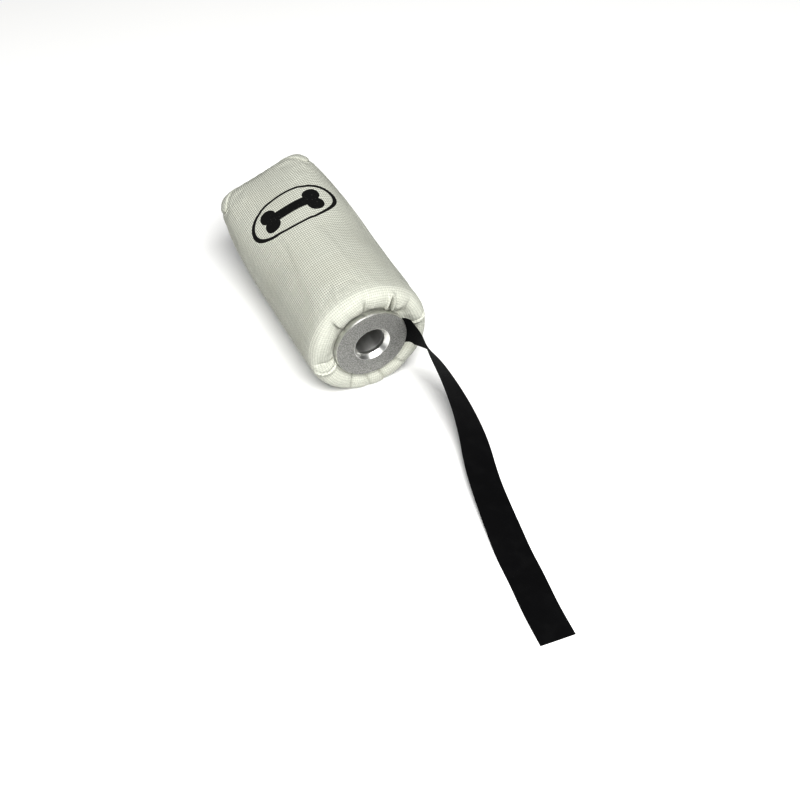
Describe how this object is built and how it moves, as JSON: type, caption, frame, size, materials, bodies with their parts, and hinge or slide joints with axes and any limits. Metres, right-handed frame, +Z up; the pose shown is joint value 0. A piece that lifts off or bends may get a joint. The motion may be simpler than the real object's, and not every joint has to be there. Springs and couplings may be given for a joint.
{
  "type": "training bumper",
  "caption": "Canvas-covered foam retrieving bumper on its side, with a flanged blind launch tube through its core and a flat ribbon streamer.",
  "frame": {"origin": "on the resting surface, under the middle of the bumper's body; the free streamer is left out of that box", "axes": "+Z up; the bumper's long axis runs along Y, with the flanged mouth of the launch tube facing -Y and the boxed end of the cover facing +Y"},
  "size_m": [0.0915, 0.3858, 0.0858],
  "materials": {
    "canvas": "matte",
    "thread": "matte",
    "foam": "matte",
    "cord": "matte",
    "ribbon": "matte",
    "turned_aluminium": "satin",
    "tube_aluminium": "satin",
    "zinc_steel": "satin"
  },
  "bodies": {
    "root": {"end_flange": "turned_aluminium", "launch_tube": "tube_aluminium", "tube_plug": "turned_aluminium", "retaining_washer": "zinc_steel", "foam_core": "foam", "foam_nose_pad": "foam", "gather_cord": "cord", "cover_sleeve": "canvas", "cover_end_panel": "canvas", "side_seam_thread_1": "thread", "side_seam_thread_2": "thread", "end_panel_thread": "thread", "streamer": "ribbon"}
  },
  "joints": []
}
